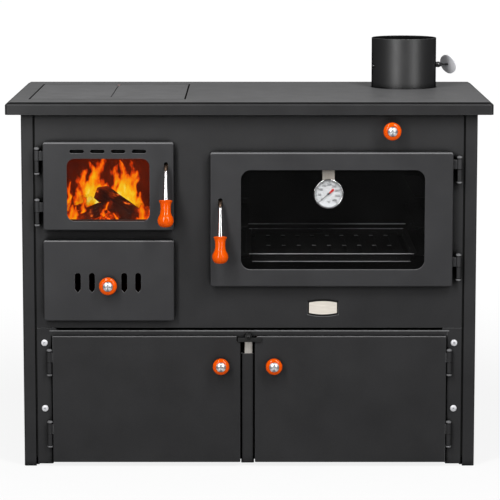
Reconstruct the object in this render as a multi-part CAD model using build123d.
"""A wood cookstove of folded sheet steel, with firebox, ash drawer, oven, hot plate and wood store.

Millimetres. X runs to the right as the cook faces the stove, Y runs to its back and Z runs up.
The origin is on the floor, under the middle of the whole stove.
"""
from build123d import *
import math
import os

os.makedirs("parts", exist_ok=True)

# ---- Driving dimensions: the body and the hob -------------------------------------------------
FRONT = -228.5            # front face of the side flanges and of the front panel
BACK = 291.5              # back face of the side panels
HALF_BODY = 498.0         # middle to the outer face of a side panel
PANEL = 3.0               # thickness of the outer panels
SHEET = 2.0               # thickness of the inner boxes
FLANGE_WIDTH = 26.75      # front flange of a side panel
SEAM = 3.0                # open seam between a side flange and the front panel
BODY_TOP = 783.0          # underside of the hob
PANEL_BACK = FRONT + PANEL
BACK_SHEET = BACK - PANEL - SHEET

HOB_HALF_WIDTH = 530.0
HOB_FRONT = -253.5
HOB_BACK = 306.5
HOB_TOP = 810.0           # cooking surface above the floor
HOB_RIM_TOP = 807.5
HOB_RIM = 6.0             # width of the rim round the plate
HOB_PLATE_UNDER = 798.0
HOB_LEDGE = 46.0          # the hob frame's full width, rim and ledge
HOB_MIDDLE_Y = (HOB_FRONT + HOB_BACK) / 2
HOB_DEPTH = HOB_BACK - HOB_FRONT
COOK = (-483.0, -142.5, -167.5, 224.5)              # cooking plate: left, right, front, back
COOK_GAP = 2.0
COOK_REBATE = 6.0
REBATE_HEIGHT = 803.0
LIFT_HOLE = (-307.0, 205.0)

# ---- Driving dimensions: the front panel, doors and drawer -------------------------------------
PANEL_HALF = HALF_BODY - FLANGE_WIDTH - SEAM
PANEL_BOTTOM = 311.0
DOOR_FRONT = FRONT - 21.0
DOOR_DEPTH = 20.4         # the pan stops short of the front panel
DOOR_SHEET = 3.0
DOOR_INNER = DOOR_FRONT + DOOR_SHEET
DOOR_CORNER = 5.0
DOOR_EDGE = 3.0           # rounded edge round a door's face
LINER_BACK = DOOR_INNER + 12.5
GASKET_BACK = FRONT - 0.3
GLASS = 4.0
GLASS_FRONT = DOOR_INNER

FIRE_DOOR = (-449.0, -164.5, 530.0, 722.0)          # left, right, bottom, top
FIRE_WINDOW = (-397.0, -217.0, 550.0, 687.0)
FIRE_OPENING = (-425.0, -204.0, 548.0, 706.0)
FIRE_LINER = (-433.0, -195.0, 540.0, 714.0)
OVEN_DOOR = (-85.0, 444.0, 405.5, 700.0)
OVEN_WINDOW = (-18.0, 382.5, 443.5, 662.0)
OVEN_OPENING = (-38.0, 402.0, 430.0, 684.0)
OVEN_LINER = (-52.0, 416.0, 416.0, 695.0)
DRAWER_FRONT = (-449.5, -164.5, 329.5, 507.0)
ASH_OPENING = (-430.0, -184.0, 345.0, 488.0)
FIRE_HINGES = (-463.0, (710.0, 597.0))              # axis, tops of the two hinges
OVEN_HINGES = (458.0, (691.0, 476.0))
HINGE_AXIS_Y = FRONT - 10.5
FIRE_HANDLE = (-181.0, 679.5)                       # middle and top of the lever's slot
OVEN_HANDLE = (-63.0, 600.0)
LEVER_SLOT = 8.5          # width of a lever's slot in its door
PIVOT_Y = -237.0          # the levers turn about this depth
GAUGE = (173.0, 609.0)    # middle of the oven thermometer
GAUGE_FRONT = GLASS_FRONT + GLASS + 0.5
GAUGE_RADIUS = 32.5
NEEDLE_TURN = 41.0        # the tail points this many degrees above the level, to the right
BADGE = (128.5, 195.5, 336.0, 376.0)

# ---- Driving dimensions: the boxes inside ------------------------------------------------------
FIREBOX = (-480.0, -120.0, -206.0, 230.0)           # left, right, front, back
FIREBOX_FLOOR = 500.0
BRICK = 28.0
BRICK_TOP = 700.0
ASH_CHAMBER = (-434.0, -180.0, 343.0, FIREBOX_FLOOR)
OVEN_BACK = 217.0
FLUE_BOX = (256.0, 446.0, 74.0, 245.0)              # left, right, front, back
TRAY_MIDDLE = (182.0, 14.0)
TRAY_SIZE = (381.0, 388.0)
TRAY_TOP = 468.0
TRAY_DEPTH = 20.0
TRAY_RIM = 10.0
TRAY_SHEET = 1.5

# ---- Driving dimensions: the wood store --------------------------------------------------------
STORE_TOP = 305.0
POST_OUTER = PANEL_HALF
POST_INNER = 434.0
LEFT_STORE_DOOR = (-433.5, -19.6, 10.0, 292.5)
RIGHT_STORE_DOOR = (12.3, 433.5, 10.0, 292.5)
STORE_DOOR_FRONT = -237.0
STORE_DOOR_DEPTH = 12.0
STORE_HINGE_X = 440.3
STORE_HINGE_Y = -235.0
STORE_HINGE_TOPS = (263.0, 102.0)
STORE_FOLD_BACK = -213.5  # back edge of the posts', rail's and mullion's folds
LATCH_PIVOT = (-2.0, 292.0)

# ---- Driving dimensions: flue, handles and knobs -----------------------------------------------
FLUE_X = 360.0
FLUE_Y = 159.5
FLUE_RADIUS = 75.0
FLUE_WALL = 2.0
FLUE_TOP = 925.0
FLUE_STOP = 876.0         # the pipe goes down to this height
DAMPER_HEIGHT = 860.0
DAMPER_TURN = 18.0        # the damper rod lies this many degrees off the stove's width
DAMPER_DISC = 2.6         # thickness of the disc that turns the damper
BYPASS_X = 310.0
BYPASS_HEIGHT = 748.0
BYPASS_KNOB_FACE = FRONT - 14.0
BYPASS_PLATE_FRONT = FLUE_BOX[2] - 3.3
KNOB_RADIUS = 19.5
SCREW_RADIUS = 10.6
SCREW_TOP = 31.4          # the screw's round head stands this far off the knob's seat
HANDLE_LEAN = 12.0        # the grips lean out this many degrees from plumb
ROD_RADIUS = 3.5
FRONT_LIMIT = -306.5      # the grips' bulbs reach furthest forward
GRIP_TIP = 129.5          # along the handle, from its bend to the grip's tip
GRIP_START = 71.0
FERRULE_START = 5.0
BULB_RADIUS = 17.7
HINGE_HEIGHT = 58.0
BARREL_RADIUS = 5.4
PIN_RADIUS = 3.0
HINGE_CAP = 7.0
LOWER_KNUCKLE = 23.0
KNUCKLE_GAP = 0.4


# ---- Small tools for outlines and sheet metal --------------------------------------------------
def outline(box, grow=0.0, radius=0.0):
    """Upright rectangle (left, right, bottom, top), grown all round, with round corners."""
    left, right, bottom, top = box
    width = right - left + 2 * grow
    height = top - bottom + 2 * grow
    shape = RectangleRounded(width, height, radius) if radius else Rectangle(width, height)
    return Pos((left + right) / 2, (bottom + top) / 2) * shape


def facing_cook(y):
    """Plane across the stove at depth y: its x runs right and its y runs up."""
    return Plane(origin=(0, y, 0), x_dir=(1, 0, 0), z_dir=(0, -1, 0))


def from_front(shape, y, depth):
    """A front-view outline made solid from depth y towards the back."""
    return extrude(facing_cook(y) * shape, amount=-depth)


def from_above(shape, z, height):
    """A plan-view outline made solid from height z upwards."""
    return extrude(Pos(0, 0, z) * shape, amount=height)


def from_side(shape, x, width):
    """A side-view outline (y, z) made solid to both sides of x."""
    side = Plane(origin=(x, 0, 0), x_dir=(0, 1, 0), z_dir=(1, 0, 0))
    return extrude(side * shape, amount=width / 2, both=True)


def folded(points, thickness, bend):
    """Section of a folded sheet: its outer line through the points, with round bends."""
    line = FilletPolyline(*points, radius=bend)
    return make_face(offset(line, amount=thickness, side=Side.LEFT))


def pan(box, front, depth, sheet, corner, edge):
    """Sheet pan, open at the back, with a rounded edge round its face."""
    block = from_front(outline(box, 0, corner), front, depth)
    block = fillet(block.faces().sort_by(Axis.Y)[0].edges(), edge)
    return block - from_front(outline(box, -sheet), front + sheet, depth)


def turned(profile, origin, direction):
    """A profile (radius, distance) turned about the line from origin along direction."""
    section = Plane(origin=origin, x_dir=perpendicular(direction), z_dir=side_of(direction)) * profile
    return revolve(section, axis=Axis(origin, direction), revolution_arc=360)


def perpendicular(direction):
    """A unit vector square to the direction."""
    along = Vector(*direction).normalized()
    aside = Vector(1, 0, 0) if abs(along.X) < 0.9 else Vector(0, 0, 1)
    return (aside - along * aside.dot(along)).normalized()


def side_of(direction):
    """The normal that lets a sketch's y run along the direction."""
    return perpendicular(direction).cross(Vector(*direction).normalized())


def closed(*points):
    """A flat face inside straight lines."""
    return make_face(Polyline(*points, close=True))


def save(name, *solids):
    """Write one named piece, or a group of like pieces."""
    shape = solids[0] if len(solids) == 1 else Compound(children=list(solids))
    export_step(shape, f"parts/{name}.step")


# ---- Side panels, back panel and front panel ---------------------------------------------------
def side_panel(side):
    """Folded side with front and back flanges and a turned-in foot along the floor."""
    flange = HALF_BODY - FLANGE_WIDTH
    line = [(-HALF_BODY + 25, BACK), (-HALF_BODY, BACK), (-HALF_BODY, FRONT), (-flange, FRONT)]
    walls = from_above(folded(line, PANEL, 5.0), 0, BODY_TOP)
    foot = Pos(-HALF_BODY + 17, 30, PANEL / 2) * Box(30, 490, PANEL)
    panel = walls + foot
    return panel if side < 0 else mirror(panel, about=Plane.YZ)


def front_panel():
    """Flat front with the door and drawer openings, latch slots and a turned-back lower edge."""
    sheet = outline((-PANEL_HALF, PANEL_HALF, PANEL_BOTTOM, BODY_TOP))
    for opening, corner in ((FIRE_OPENING, 6), (OVEN_OPENING, 6), (ASH_OPENING, 1)):
        sheet -= outline(opening, 0, corner)
    for middle, slot_top in (FIRE_HANDLE, OVEN_HANDLE):
        sheet -= outline((middle - 5, middle + 5, slot_top - 21, slot_top - 4))
    sheet -= Pos(BYPASS_X, BYPASS_HEIGHT) * Circle(ROD_RADIUS + 0.6)
    panel = from_front(sheet, FRONT, PANEL)
    fold_width = 2 * POST_INNER
    return panel + Pos(0, PANEL_BACK + 9, PANEL_BOTTOM + PANEL / 2) * Box(fold_width, 20, PANEL)


def seam_strap(side):
    """Flat strap behind a seam, which joins side flange, front panel and post."""
    box = (side * 466.5 - 25.5, side * 466.5 + 25.5, 20, BODY_TOP - 5)
    return from_front(outline(box), PANEL_BACK, 2.5)


save("side_panel_left", side_panel(-1))
save("side_panel_right", side_panel(1))
save("front_panel", front_panel())
save("seam_straps", seam_strap(-1), seam_strap(1))
back_half = HALF_BODY - PANEL - 2.5
back_box = (-back_half, back_half, PANEL, BODY_TOP)
save("back_panel", from_front(outline(back_box), BACK_SHEET, SHEET))
shield_depth = BACK_SHEET - STORE_FOLD_BACK
shield = Pos(0, BACK_SHEET - shield_depth / 2) * Rectangle(2 * (HALF_BODY - PANEL), shield_depth)
save("heat_shield", from_above(shield, 308, SHEET))


# ---- Hob: rim frame, plate with the flue hole, and the lift-out cooking plate ------------------
def hob_frame():
    """Rim round the plate and, below it, the ledge that carries the plate."""
    spot = Pos(0, HOB_MIDDLE_Y)
    whole = spot * RectangleRounded(2 * HOB_HALF_WIDTH, HOB_DEPTH, 8)
    rim = from_above(whole, BODY_TOP, HOB_RIM_TOP - BODY_TOP)
    rim = chamfer(rim.faces().sort_by(Axis.Z)[-1].edges(), 3)
    well = spot * RectangleRounded(2 * (HOB_HALF_WIDTH - HOB_RIM), HOB_DEPTH - 2 * HOB_RIM, 6)
    inside = spot * Rectangle(2 * (HOB_HALF_WIDTH - HOB_LEDGE), HOB_DEPTH - 2 * HOB_LEDGE)
    return rim - from_above(well, HOB_PLATE_UNDER, 40) - from_above(inside, BODY_TOP, 60)


def hob_plate():
    """Cast plate with a stepped opening for the cooking plate and the hole for the flue."""
    gap = HOB_RIM + 1
    whole = Pos(0, HOB_MIDDLE_Y) * RectangleRounded(
        2 * (HOB_HALF_WIDTH - gap), HOB_DEPTH - 2 * gap, 5)
    plate = from_above(whole, HOB_PLATE_UNDER, HOB_TOP - HOB_PLATE_UNDER)
    plate -= from_above(outline(COOK, COOK_GAP, 3), REBATE_HEIGHT, 20)
    plate -= from_above(outline(COOK, -COOK_REBATE), HOB_PLATE_UNDER, 20)
    return plate - Pos(FLUE_X, FLUE_Y, HOB_TOP) * Cylinder(FLUE_RADIUS + 0.1, 60)


def cooking_plate():
    """Cast lid that sits in the rebate, with expansion grooves and a hole for the lifter."""
    lid = from_above(outline(COOK, 0, 3), REBATE_HEIGHT, HOB_TOP - REBATE_HEIGHT)
    lid += from_above(outline(COOK, -COOK_REBATE - COOK_GAP), REBATE_HEIGHT - 4, 4)
    cross = Pos(-296.5, 36.5) * Rectangle(269, 2)
    along = Pos(-307, 48) * Rectangle(2, 325)
    return lid - from_above(cross + along, HOB_TOP - 1.5, 5) - lift_hole()


def lift_hole():
    """Slot through the cooking plate, where the lifter's hook goes in."""
    slot = Pos(*LIFT_HOLE) * Rot(0, 0, 90) * SlotOverall(26, 11)
    return from_above(slot, HOB_PLATE_UNDER - 10, 40)


save("hob_frame", hob_frame())
save("hob_plate", hob_plate())
save("cooking_plate", cooking_plate())


# ---- Flue collar and its damper ----------------------------------------------------------------
def flue_collar():
    """Collar welded into the hob plate, with a stop ring for the pipe."""
    foot = HOB_TOP - 20
    outer = FLUE_RADIUS
    inner = FLUE_RADIUS - FLUE_WALL
    ring = inner - 3
    profile = closed((inner, foot), (outer, foot), (outer, FLUE_TOP), (inner, FLUE_TOP),
                     (inner, FLUE_STOP), (ring, FLUE_STOP), (ring, FLUE_STOP - 2), (inner, FLUE_STOP - 5))
    collar = turned(profile, (FLUE_X, FLUE_Y, 0), (0, 0, 1))
    rod_hole = damper_spot() * Rot(0, 90, 0) * Cylinder(4.05, 170)
    return collar - rod_hole


def damper_spot():
    """Where the damper lies: x runs along its rod, and the damper's middle is at zero."""
    return Pos(FLUE_X, FLUE_Y, DAMPER_HEIGHT) * Rot(0, 0, DAMPER_TURN)


def disc_plane():
    """Mid plane of the handle's disc, which faces back along the rod, down and to the front."""
    return Plane(origin=(111.6, 0, 0), z_dir=(-0.857, -0.41, -0.316))


def damper_rod():
    """Rod right through the collar, from a stub on the left to the handle's disc on the right."""
    start = -84.0
    end = 114.0
    rod = Pos((start + end) / 2, 0, 0) * Rot(0, 90, 0) * Cylinder(4.0, end - start)
    return damper_spot() * (rod - disc_plane() * Pos(0, 0, DAMPER_DISC / 2 - 10) * Cylinder(30, 20))


def damper_plate():
    """Round plate with a sleeve that the rod runs through."""
    plate = Cylinder(63, 3) + Rot(0, 90, 0) * Cylinder(7, 110)
    return damper_spot() * (plate - Rot(0, 90, 0) * Cylinder(4.02, 200))


def damper_ferrule():
    """Dark acorn collar on the rod, just outside the flue collar."""
    profile = closed((4.02, 79), (6.5, 82.5), (6.5, 87), (4.4, 93.5), (4.02, 93.5))
    return damper_spot() * turned(profile, (0, 0, 0), (1, 0, 0))


def damper_disc():
    """Zinc disc set aslant on the rod's end, by which the damper is turned."""
    return damper_spot() * (disc_plane() * Cylinder(23.2, DAMPER_DISC))


save("flue_collar", flue_collar())
save("damper_rod", damper_rod())
save("damper_plate", damper_plate())
save("damper_ferrule", damper_ferrule())
save("damper_disc", damper_disc())


# ---- Firebox, bricks, grate and ash chamber ----------------------------------------------------
def firebox_shell():
    """Welded box, open under the hob, with a throat to the door and a way out for the smoke."""
    left, right, front, back = FIREBOX
    box = from_above(outline(FIREBOX), FIREBOX_FLOOR, HOB_PLATE_UNDER - FIREBOX_FLOOR)
    box -= from_above(outline(FIREBOX, -PANEL), FIREBOX_FLOOR + PANEL, 400)
    throat_depth = front - PANEL_BACK
    box += from_front(outline(FIRE_OPENING, SHEET, 8), PANEL_BACK, throat_depth)
    box -= from_front(outline(FIRE_OPENING, 0, 6), PANEL_BACK, throat_depth + PANEL)
    box -= Pos((left + right) / 2, 10, FIREBOX_FLOOR) * Box(190, 250, 20)
    return box - Pos(right, 120, 750) * Box(20, 160, 70)


def fire_bricks():
    """Bricks on both sides and at the back, two in each row, with open joints."""
    left, right, front, back = FIREBOX
    gap = 0.5
    inner_left = left + PANEL + gap
    inner_right = right - PANEL - gap
    inner_back = back - PANEL - gap
    length = (inner_back - front - PANEL - 3) / 2
    height = BRICK_TOP - FIREBOX_FLOOR - PANEL
    bricks = []
    for row in range(2):
        middle_y = inner_back - (row + 0.5) * length - row
        for middle_x in (inner_left + BRICK / 2, inner_right - BRICK / 2):
            brick = Box(BRICK, length, height)
            bricks.append(Pos(middle_x, middle_y, FIREBOX_FLOOR + PANEL + height / 2) * brick)
    back_length = (inner_right - inner_left - 2 * BRICK - 3) / 2
    for side in (-1, 1):
        middle_x = (inner_left + inner_right) / 2 + side * (back_length + 1) / 2
        brick = Box(back_length, BRICK, height)
        middle_y = inner_back - BRICK / 2
        bricks.append(Pos(middle_x, middle_y, FIREBOX_FLOOR + PANEL + height / 2) * brick)
    return bricks


def fire_grate():
    """Cast grate with two rows of long slots between its bars."""
    middle = (FIREBOX[0] + FIREBOX[1]) / 2
    plate = Pos(middle, 10) * Rectangle(220, 280)
    for row in (-1, 1):
        for step in range(9):
            plate -= Pos(middle + (step - 4) * 22, 10 + row * 65) * Rectangle(9, 118)
    return from_above(plate, FIREBOX_FLOOR + PANEL, 12)


def ash_chamber():
    """Sheet channel below the firebox floor that the ash pan slides into."""
    inner = ASH_OPENING
    left, right, bottom, top = ASH_CHAMBER
    depth = 180 - PANEL_BACK
    body = from_front(outline((left, right, bottom, top)), PANEL_BACK, depth)
    space = (inner[0] - 2, inner[1] + 2, inner[2], FIREBOX_FLOOR + 5)
    return body - from_front(outline(space), PANEL_BACK - 1, depth - SHEET + 1)


save("firebox_shell", firebox_shell())
save("fire_bricks", *fire_bricks())
save("fire_grate", fire_grate())
save("ash_chamber", ash_chamber())


# ---- Oven box, runners, tray, grid, flue box ---------------------------------------------------
def oven_box():
    """Oven liner: a sheet box, open at the front against the panel."""
    body = from_front(outline(OVEN_OPENING, SHEET, 8), PANEL_BACK, OVEN_BACK - PANEL_BACK)
    return body - from_front(outline(OVEN_OPENING, 0, 6), PANEL_BACK, OVEN_BACK - PANEL_BACK - SHEET)


def oven_runner(side, height):
    """Angle strip along one oven wall; its upper face is at the given height."""
    wall = OVEN_OPENING[0] if side < 0 else OVEN_OPENING[1]
    inward = -side
    angle = closed((wall, height), (wall + inward * 36, height), (wall + inward * 36, height - 2),
                   (wall + inward * 2, height - 2), (wall + inward * 2, height - 16), (wall, height - 16))
    return from_front(angle, -190, 390)


def tray_outline(inset, corner):
    """Plan of the tray, drawn in all round by the inset."""
    width, depth = TRAY_SIZE
    return Pos(*TRAY_MIDDLE) * RectangleRounded(width - 2 * inset, depth - 2 * inset, corner)


def oven_tray():
    """Drawn baking tray with a flat rim."""
    floor = TRAY_TOP - TRAY_DEPTH
    bowl = from_above(tray_outline(TRAY_RIM, 7), floor, TRAY_DEPTH)
    bowl = chamfer(bowl.faces().sort_by(Axis.Z)[0].edges(), 4)
    space = from_above(tray_outline(TRAY_RIM + TRAY_SHEET, 6), floor + TRAY_SHEET, TRAY_DEPTH)
    space = chamfer(space.faces().sort_by(Axis.Z)[0].edges(), 3.4)
    return bowl + from_above(tray_outline(0, 14), TRAY_TOP - TRAY_SHEET, TRAY_SHEET) - space


def oven_grid():
    """Slotted insert on two folded legs, with two rows of nine slots."""
    middle_x, middle_y = TRAY_MIDDLE
    top = TRAY_TOP - 8
    floor = TRAY_TOP - TRAY_DEPTH + TRAY_SHEET
    half = 168.0
    line = [(half, floor), (half, top), (-half, top), (-half, floor)]
    length = TRAY_SIZE[1] - 2 * TRAY_RIM - 22
    grid = from_front(Pos(middle_x, 0) * folded(line, TRAY_SHEET, 2.5), middle_y - length / 2, length)
    for row in (-1, 1):
        for step in range(9):
            place = Pos(middle_x + (step - 4) * 34.5, middle_y + row * 78)
            grid -= from_above(place * Rectangle(9, 120), top - 5, 10)
    return grid


def flue_box():
    """Smoke box between oven top and hob, with the opening that the bypass plate covers."""
    bottom = OVEN_OPENING[3] + SHEET
    walls = outline(FLUE_BOX) - outline(FLUE_BOX, -SHEET)
    box = from_above(walls, bottom, HOB_PLATE_UNDER - bottom)
    opening = outline((BYPASS_X - 42, BYPASS_X + 42, BYPASS_HEIGHT - 22, BYPASS_HEIGHT + 22), 0, 4)
    return box - from_front(opening, FLUE_BOX[2] - 5, 20)


runners = [oven_runner(side, height) for side in (-1, 1) for height in (TRAY_TOP - 1.5, 530, 595)]
save("oven_box", oven_box())
save("oven_runners", *runners)
save("oven_tray", oven_tray())
save("oven_grid", oven_grid())
save("flue_box", flue_box())


# ---- Lift-off barrel hinges --------------------------------------------------------------------
def hinge_lower(axis_x, axis_y, top, back):
    """Frame half: cap, knuckle and upright pin, with a tab back to the face it is welded to."""
    foot = top - HINGE_HEIGHT
    shoulder = foot + HINGE_CAP + LOWER_KNUCKLE
    pin_top = top - HINGE_CAP - 2
    profile = closed((0, foot), (BARREL_RADIUS, foot), (BARREL_RADIUS, shoulder), (PIN_RADIUS, shoulder),
                     (PIN_RADIUS, pin_top), (0, pin_top))
    barrel = turned(profile, (axis_x, axis_y, 0), (0, 0, 1))
    tab_depth = back - axis_y
    tab = Pos(axis_x, axis_y + tab_depth / 2, foot + HINGE_CAP + LOWER_KNUCKLE / 2) * Box(
        5, tab_depth, LOWER_KNUCKLE)
    return barrel + tab


def hinge_upper(axis_x, axis_y, top, door_edge):
    """Door half: bored knuckle with a closed cap, and an arm sideways to the door's edge."""
    foot = top - HINGE_HEIGHT + HINGE_CAP + LOWER_KNUCKLE + KNUCKLE_GAP
    bore = PIN_RADIUS + 0.06
    bore_top = top - HINGE_CAP - 1
    profile = closed((bore, foot), (BARREL_RADIUS, foot), (BARREL_RADIUS, top), (0, top),
                     (0, bore_top), (bore, bore_top))
    barrel = turned(profile, (axis_x, axis_y, 0), (0, 0, 1))
    arm_height = top - HINGE_CAP - foot
    side = 1 if door_edge > axis_x else -1
    near = axis_x + side * (bore + 1)
    arm = Pos((near + door_edge) / 2, axis_y, foot + arm_height / 2) * Box(
        abs(door_edge - near), 4, arm_height)
    return barrel + arm


# ---- Fire door and oven door -------------------------------------------------------------------
def air_slots():
    """Four flat air slots above the fire window."""
    slots = Sketch()
    for middle in (-375, -330, -285, -239.5):
        slots += Pos(middle, 703) * SlotOverall(31, 7.7)
    return slots


def door_shell(box, window, window_radius, handle, slots=None):
    """Pressed door pan with its window, the lever's slot and any air slots."""
    shell = pan(box, DOOR_FRONT, DOOR_DEPTH, DOOR_SHEET, DOOR_CORNER, DOOR_EDGE)
    shell -= from_front(outline(window, 0, window_radius), DOOR_FRONT, 10)
    middle, slot_top = handle
    half = LEVER_SLOT / 2
    slot = outline((middle - half, middle + half, slot_top - 24, slot_top), 0, half - 0.2)
    shell -= from_front(slot, DOOR_FRONT, 10)
    if slots:
        shell -= from_front(slots, DOOR_FRONT, 10)
    return shell


def door_liner(box, window):
    """Inner sheet of a door, folded forward to the door's face and, round the window, to the pane."""
    depth = LINER_BACK - DOOR_INNER
    block = from_front(outline(box), DOOR_INNER, depth)
    block -= from_front(outline(box, -SHEET), DOOR_INNER, depth - SHEET)
    block += from_front(outline(window, 3, 12), GLASS_FRONT + GLASS, depth - GLASS)
    return block - from_front(outline(window, 1, 10), DOOR_INNER, 30)


def door_gasket(box):
    """Seal that the door presses against the front panel."""
    ring = outline(box, -1) - outline(box, -7)
    return from_front(ring, LINER_BACK, GASKET_BACK - LINER_BACK)


def door_glass(window):
    """Glass pane behind the window."""
    return from_front(outline(window, 6, 8), GLASS_FRONT, GLASS)


def handle_bracket(handle):
    """Two lugs inside the door and the pin that the lever turns on."""
    middle, slot_top = handle
    height = slot_top - 11
    lug = (PIVOT_Y - DOOR_INNER) / 2
    parts = Pos(middle, PIVOT_Y, height) * Rot(0, 90, 0) * Cylinder(3, 22)
    for side in (-1, 1):
        cheek = Pos(middle + side * 7.5, DOOR_INNER + lug + 3, height) * Box(2.5, 2 * lug + 6, 13)
        parts += cheek
    return parts


def save_door(name, box, window, radius, liner, handle, hinges, slots=None):
    """Write the pieces of a glazed door; its knuckles and lugs are welded to the pan."""
    axis_x, tops = hinges
    door_edge = box[0] + 1 if axis_x < 0 else box[1] - 1
    shell = door_shell(box, window, radius, handle, slots) + handle_bracket(handle)
    for top in tops:
        shell += hinge_upper(axis_x, HINGE_AXIS_Y, top, door_edge)
    save(f"{name}_door_shell", shell)
    save(f"{name}_door_glass", door_glass(window))
    save(f"{name}_door_liner", door_liner(liner, window))
    save(f"{name}_door_gasket", door_gasket(liner))


save_door("fire", FIRE_DOOR, FIRE_WINDOW, 17, FIRE_LINER, FIRE_HANDLE, FIRE_HINGES, air_slots())
save_door("oven", OVEN_DOOR, OVEN_WINDOW, 21, OVEN_LINER, OVEN_HANDLE, OVEN_HINGES)


# ---- Latch handles: lever with hook, ferrule and grip ------------------------------------------
BULB_AT = GRIP_START + 42
LEAN = math.radians(HANDLE_LEAN)
BEND_Y = FRONT_LIMIT + BULB_AT * math.sin(LEAN) + BULB_RADIUS * math.cos(LEAN)


def handle_direction():
    """Unit vector down along a hanging handle."""
    return (0, -math.sin(LEAN), -math.cos(LEAN))


def handle_bend(handle):
    """The point where the lever turns down into the handle."""
    middle, slot_top = handle
    return (middle, BEND_Y, slot_top - 10)


def handle_lever(handle):
    """Round rod out through the door and down into the grip, with a hook on its inner end."""
    middle, slot_top = handle
    height = slot_top - 11
    bend = handle_bend(handle)
    down = handle_direction()
    reach = GRIP_TIP - 19
    end = tuple(start + reach * step for start, step in zip(bend, down))
    path = FilletPolyline((middle, PIVOT_Y, height), bend, end, radius=7)
    rod = sweep((path ^ 0) * Circle(ROD_RADIUS), path)
    hub = Pos(middle, PIVOT_Y, height) * Rot(0, 90, 0) * Cylinder(7, 10)
    hook = closed((PIVOT_Y, height - 3), (-217, height - 3), (-217, height + 8), (-219, height + 11),
                  (-224, height + 11), (-224, height + 3), (PIVOT_Y, height + 3))
    lever = rod + hub + from_side(hook, middle, 6)
    return lever - Pos(middle, PIVOT_Y, height) * Rot(0, 90, 0) * Cylinder(3.05, 30)


def handle_ferrule(handle):
    """Slim cone that widens down to the grip."""
    bore = ROD_RADIUS + 0.02
    profile = closed((bore, FERRULE_START), (ROD_RADIUS + 0.4, FERRULE_START), (6.85, GRIP_START - 2),
                     (6.85, GRIP_START), (bore, GRIP_START))
    return turned(profile, handle_bend(handle), handle_direction())


def handle_grip(handle):
    """Turned grip: a collar, a drawn-in neck and a round bulb, bored for the rod."""
    bore = ROD_RADIUS + 0.02
    bottom = GRIP_TIP - 19
    bands = [(8, 0), (14.5, 3), (14.5, 6), (11, 19), (14.5, 33), (BULB_RADIUS, 42), (16, 49), (9, 56.5)]
    profile = closed((bore, bottom), *[(radius, GRIP_START + reach) for radius, reach in bands],
                     (0, GRIP_TIP), (0, bottom))
    return turned(profile, handle_bend(handle), handle_direction())


for door, handle in (("fire", FIRE_HANDLE), ("oven", OVEN_HANDLE)):
    save(f"{door}_handle_lever", handle_lever(handle))
    save(f"{door}_handle_ferrule", handle_ferrule(handle))
    save(f"{door}_handle_grip", handle_grip(handle))


# ---- Oven thermometer --------------------------------------------------------------------------
def on_gauge(shape, front, depth):
    """A part of the gauge drawn round its middle and made solid towards the back."""
    return from_front(Pos(*GAUGE) * shape, front, depth)


def gauge_case():
    """Steel cup with a thick rim."""
    cup = on_gauge(Circle(GAUGE_RADIUS), GAUGE_FRONT, LINER_BACK - GAUGE_FRONT)
    return cup - on_gauge(Circle(GAUGE_RADIUS - 3), GAUGE_FRONT, LINER_BACK - GAUGE_FRONT - 1.5)


def gauge_dial():
    """Dial plate with the post that the needle turns on."""
    floor = LINER_BACK - 1.5
    dial = on_gauge(Circle(GAUGE_RADIUS - 3.2), floor - 1, 1)
    return dial + on_gauge(Circle(1.2), floor - 4.4, 4)


def gauge_needle():
    """Slim pointer at the foot of the scale, with a broad tail on the hub's other side."""
    pointer = closed((-24, -0.4), (0, -0.9), (0, 0.9), (-24, 0.4))
    tail = closed((0, -1.2), (15, -2.4), (15, 2.4), (0, 1.2))
    shape = Circle(3) + Rot(0, 0, NEEDLE_TURN) * (pointer + tail) - Circle(1.25)
    return on_gauge(shape, LINER_BACK - 5.2, 0.8)


def gauge_strap():
    """Strap that hangs the gauge from the top of the oven window."""
    box = (GAUGE[0] - 13.3, GAUGE[0] + 13.3, GAUGE[1] - 12, OVEN_WINDOW[3] + 14)
    return from_front(outline(box), LINER_BACK, 1.5)


save("gauge_strap", gauge_strap())
save("gauge_case", gauge_case())
save("gauge_dial", gauge_dial())
save("gauge_needle", gauge_needle())
save("gauge_lens", on_gauge(Circle(GAUGE_RADIUS - 3), GAUGE_FRONT + 0.3, 0.8))


# ---- Ash drawer --------------------------------------------------------------------------------
PAN_LEFT = ASH_OPENING[0] + 2
PAN_RIGHT = ASH_OPENING[1] - 2


def drawer_slot(middle):
    """Upright air slot, round at the top and pointed at the bottom."""
    half = 6.35
    straight = closed((-half, -14), (0, -22), (half, -14), (half, 15.5), (-half, 15.5))
    return Pos(middle, 414) * (straight + Pos(0, 15.5) * Circle(half))


def drawer_front():
    """Drawer front with four air slots."""
    shell = pan(DRAWER_FRONT, DOOR_FRONT, DOOR_DEPTH, DOOR_SHEET, DOOR_CORNER, DOOR_EDGE)
    for middle in (-375, -344, -273.5, -243):
        shell -= from_front(drawer_slot(middle), DOOR_FRONT, 10)
    return shell


def ash_pan():
    """Open sheet pan behind the drawer front, lower at its front to let the air in."""
    box = (PAN_LEFT, PAN_RIGHT, DOOR_INNER, 150)
    tray = from_above(outline(box), ASH_OPENING[2] + 0.5, 80)
    tray -= from_above(outline(box, -1.5), ASH_OPENING[2] + 2, 100)
    return tray - Pos((PAN_LEFT + PAN_RIGHT) / 2, DOOR_INNER, 420) * Box(220, 10, 80)


save("ash_drawer_front", drawer_front())
save("ash_pan", ash_pan())


# ---- Knobs -------------------------------------------------------------------------------------
def knob(spot, face, radius):
    """Turned knob on a short neck, with the domed head of its screw in the middle."""
    x, z = spot
    bands = [(7.5, 0), (7.5, 11), (radius, 17), (radius - 1.2, 22), (radius - 6, 26.5),
             (SCREW_RADIUS, 26.8), (SCREW_RADIUS * 0.6, SCREW_TOP - 1.2)]
    return turned(closed((0, 0), *bands, (0, SCREW_TOP)), (x, face, z), (0, -1, 0))


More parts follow.
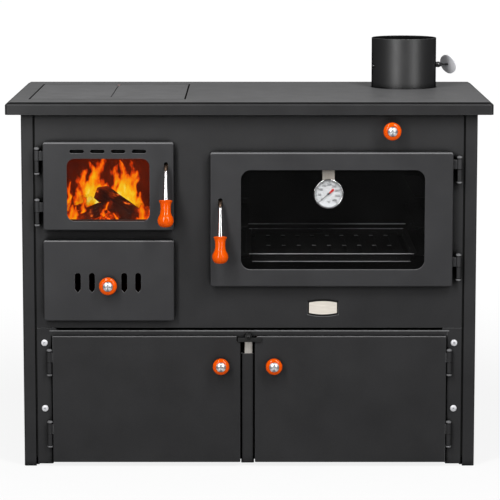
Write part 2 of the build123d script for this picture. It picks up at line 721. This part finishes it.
save("ash_drawer_knob", knob((-308.0, 409.6), DOOR_FRONT, KNOB_RADIUS))
save("left_store_knob", knob((-62.0, 228.6), STORE_DOOR_FRONT, 18.0))
save("right_store_knob", knob((54.5, 228.6), STORE_DOOR_FRONT, 18.0))


# ---- Bypass damper -----------------------------------------------------------------------------
def bypass_rod():
    """Pull rod with the plate that covers the opening into the flue box."""
    rod = on_bypass(Circle(ROD_RADIUS), BYPASS_KNOB_FACE, BYPASS_PLATE_FRONT - BYPASS_KNOB_FACE)
    collar = on_bypass(Circle(9), BYPASS_PLATE_FRONT - 12, 12)
    plate = on_bypass(RectangleRounded(96, 58, 5), BYPASS_PLATE_FRONT, 3)
    return rod + collar + plate


def on_bypass(shape, front, depth):
    """A part drawn round the pull rod's line and made solid towards the back."""
    return from_front(Pos(BYPASS_X, BYPASS_HEIGHT) * shape, front, depth)


save("bypass_rod", bypass_rod())
save("bypass_knob", knob((BYPASS_X, BYPASS_HEIGHT), BYPASS_KNOB_FACE, KNOB_RADIUS))


# ---- Badge place -------------------------------------------------------------------------------
badge = from_front(outline(BADGE, 0, 5), FRONT - 2.5, 2.5)
save("badge", badge - from_front(outline(BADGE, -3.5, 2), FRONT - 2.5, 1.3))


# ---- Wood store: frame, mullion, strap, floor, bolts, latch ------------------------------------
def store_post(side):
    """Post folded back along its inner edge, with a small tab at its head."""
    line = [(-POST_OUTER, FRONT), (-POST_INNER, FRONT), (-POST_INNER, STORE_FOLD_BACK)]
    post = from_above(folded(line, PANEL, 3.5), 5, 305)
    tab = from_front(outline((-POST_INNER - 2, -POST_INNER + 9, 293, 310)), FRONT, PANEL)
    post += tab
    return post if side < 0 else mirror(post, about=Plane.YZ)


def store_frame():
    """Two posts and the folded rail between them, with a tab for the latch's bolt."""
    section = closed((FRONT, 293), (FRONT, STORE_TOP), (STORE_FOLD_BACK, STORE_TOP),
                     (STORE_FOLD_BACK, STORE_TOP - PANEL), (PANEL_BACK, STORE_TOP - PANEL),
                     (PANEL_BACK, 293))
    rail = from_side(section, 0, 2 * POST_INNER - 2)
    tab = outline((-27, 12, 281, 294)) - Pos(*LATCH_PIVOT) * Circle(3.2)
    rail -= from_front(Pos(*LATCH_PIVOT) * Circle(3.2), FRONT - 5, 12)
    return store_post(-1) + store_post(1) + rail + from_front(tab, FRONT, PANEL)


def store_mullion():
    """Upright channel between the two doors."""
    line = [(-18, STORE_FOLD_BACK), (-18, FRONT), (10.6, FRONT), (10.6, STORE_FOLD_BACK)]
    return from_above(folded(line, PANEL, 3.5), 7, 246)


def store_strap():
    """Zinc strap that hangs the mullion from the rail."""
    strap = outline((-10, 6.8, 245, 301)) - Pos(*LATCH_PIVOT) * Circle(3.2)
    return from_front(strap, PANEL_BACK, SHEET)


def turn_latch():
    """Turn button: a bar across both doors on a round hub."""
    hub = from_front(Pos(*LATCH_PIVOT) * Circle(7.5), STORE_DOOR_FRONT - 4, 12)
    bar = from_front(outline((-25.6, 27.4, 281, 290), 0, 1.5), STORE_DOOR_FRONT - 4, 3)
    return hub + bar - from_front(Pos(*LATCH_PIVOT) * Circle(3.06), STORE_DOOR_FRONT - 10, 30)


def latch_bolt():
    """Bolt that holds the turn button on the rail."""
    head = from_front(Pos(*LATCH_PIVOT) * Circle(6.5), STORE_DOOR_FRONT - 9.2, 5)
    return head + from_front(Pos(*LATCH_PIVOT) * Circle(3), STORE_DOOR_FRONT - 5, 18)


floor_depth = BACK_SHEET - STORE_FOLD_BACK
store_floor = Pos(0, BACK_SHEET - floor_depth / 2) * Rectangle(2 * (HALF_BODY - PANEL), floor_depth)
save("store_frame", store_frame())
save("store_mullion", store_mullion())
save("store_strap", store_strap())
save("latch_bolt", latch_bolt())
save("store_floor", from_above(store_floor, 12, SHEET))
save("turn_latch", turn_latch())


# ---- Wood store doors --------------------------------------------------------------------------
def store_door(box, side):
    """Sheet door with folded edges, a cut inner corner and its hinge knuckles welded on."""
    door = pan(box, STORE_DOOR_FRONT, STORE_DOOR_DEPTH, SHEET, 2.5, 1.5)
    door -= corner_cut(box, side)
    edge = side * (abs(box[0] if side < 0 else box[1]) - 1)
    for top in STORE_HINGE_TOPS:
        door += hinge_upper(side * STORE_HINGE_X, STORE_HINGE_Y, top, edge)
    return door


def corner_cut(box, side):
    """The room that a door's inner top corner leaves for the latch."""
    left, right, bottom, top = box
    if side < 0:
        return Pos(right, STORE_DOOR_FRONT + 6, top) * Box(17, 30, 23)
    return from_front(closed((left - 1, top - 7), (left + 6, top + 1), (left - 1, top + 1)),
                      STORE_DOOR_FRONT - 1, 30)


def all_hinge_pins():
    """Frame halves of every door's two hinges."""
    hinges = [(FIRE_HINGES, HINGE_AXIS_Y), (OVEN_HINGES, HINGE_AXIS_Y),
              ((-STORE_HINGE_X, STORE_HINGE_TOPS), STORE_HINGE_Y),
              ((STORE_HINGE_X, STORE_HINGE_TOPS), STORE_HINGE_Y)]
    return [hinge_lower(axis_x, axis_y, top, FRONT) for (axis_x, tops), axis_y in hinges for top in tops]


save("left_store_door", store_door(LEFT_STORE_DOOR, -1))
save("right_store_door", store_door(RIGHT_STORE_DOOR, 1))
save("hinge_pins", *all_hinge_pins())
